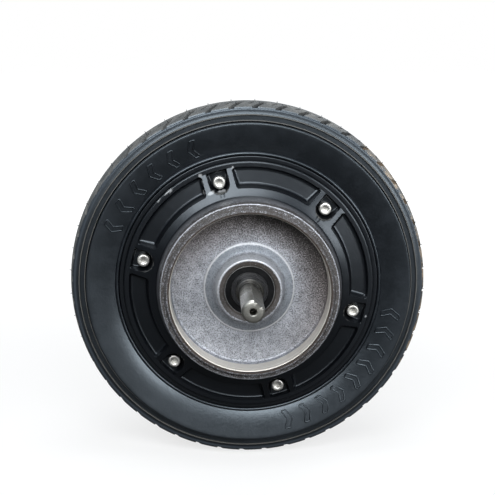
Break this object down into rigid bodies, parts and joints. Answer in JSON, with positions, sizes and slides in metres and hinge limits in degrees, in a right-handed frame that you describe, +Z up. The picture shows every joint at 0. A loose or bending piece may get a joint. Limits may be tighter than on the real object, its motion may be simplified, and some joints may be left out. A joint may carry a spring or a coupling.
{
  "type": "motorized wheel",
  "caption": "Solid-tyred scooter wheel with a gearless hub motor inside, a brake drum in its cover and a flatted axle stub on each side.",
  "frame": {"origin": "centre of the wheel, on the axle's axis in the middle plane of the tyre", "axes": "-Y along the axle towards the brake drum, +Z up, +X to the right seen from the drum side"},
  "size_m": [0.2, 0.1655, 0.2],
  "materials": {
    "tyre": "matte black rubber",
    "hub_paint": "satin black paint on cast aluminium",
    "cover_paint": "satin black paint on cast aluminium, bare and sandblasted on the drum",
    "liner": "fine turned",
    "gasket": "fibre gasket",
    "screws": "bright zinc plated",
    "flux_ring": "plain turned steel",
    "magnets": "nickel plated",
    "bearing_steel": "ground steel",
    "seals": "matte black rubber",
    "cages": "moulded nylon",
    "plain_steel": "spring steel",
    "axle": "turned steel, a little dulled",
    "carrier": "machined casting",
    "laminations": "stacked steel laminations",
    "insulators": "moulded end plates",
    "copper": "enamelled copper wire",
    "board": "green circuit board",
    "sensors": "black sensor cases"
  },
  "bodies": {
    "axle_assembly": {"axle": "axle", "stator_carrier": "carrier", "carrier_key": "plain_steel", "carrier_circlip": "plain_steel", "stator_core": "laminations", "drum_side_insulator": "insulators", "cable_side_insulator": "insulators", "phase_a_coils": "copper", "phase_b_coils": "copper", "phase_c_coils": "copper", "hall_board": "board", "hall_sensors": "sensors", "drum_bearing_inner_ring": "bearing_steel", "cable_bearing_inner_ring": "bearing_steel", "cable_grommet": "seals"},
    "wheel": {"tyre": "tyre", "hub_shell": "hub_paint", "drum_cover": "cover_paint", "cable_cover": "cover_paint", "brake_liner": "liner", "drum_cover_gasket": "gasket", "cable_cover_gasket": "gasket", "drum_cover_screws": "screws", "cable_cover_screws": "screws", "flux_ring": "flux_ring", "magnets": "magnets", "drum_bearing_outer_ring": "bearing_steel", "cable_bearing_outer_ring": "bearing_steel", "drum_bearing_outer_seal": "seals", "drum_bearing_inner_seal": "seals", "cable_bearing_outer_seal": "seals", "cable_bearing_inner_seal": "seals", "preload_washer": "plain_steel"},
    "drum_bearing_set": {"drum_bearing_balls": "bearing_steel", "drum_bearing_cage": "cages"},
    "cable_bearing_set": {"cable_bearing_balls": "bearing_steel", "cable_bearing_cage": "cages"}
  },
  "joints": [
    {"name": "wheel_spin", "type": "hinge", "parent": "axle_assembly", "child": "wheel", "pos_m": [0, 0, 0], "axis": [0, 1, 0], "continuous": true},
    {"name": "drum_bearing_turn", "type": "hinge", "parent": "axle_assembly", "child": "drum_bearing_set", "pos_m": [0, 0, 0], "axis": [0, 1, 0], "continuous": true},
    {"name": "cable_bearing_turn", "type": "hinge", "parent": "axle_assembly", "child": "cable_bearing_set", "pos_m": [0, 0, 0], "axis": [0, 1, 0], "continuous": true}
  ],
  "couplings": [
    {"joint": "drum_bearing_turn", "follows": "wheel_spin", "ratio": 0.60132},
    {"joint": "cable_bearing_turn", "follows": "wheel_spin", "ratio": 0.59158}
  ]
}
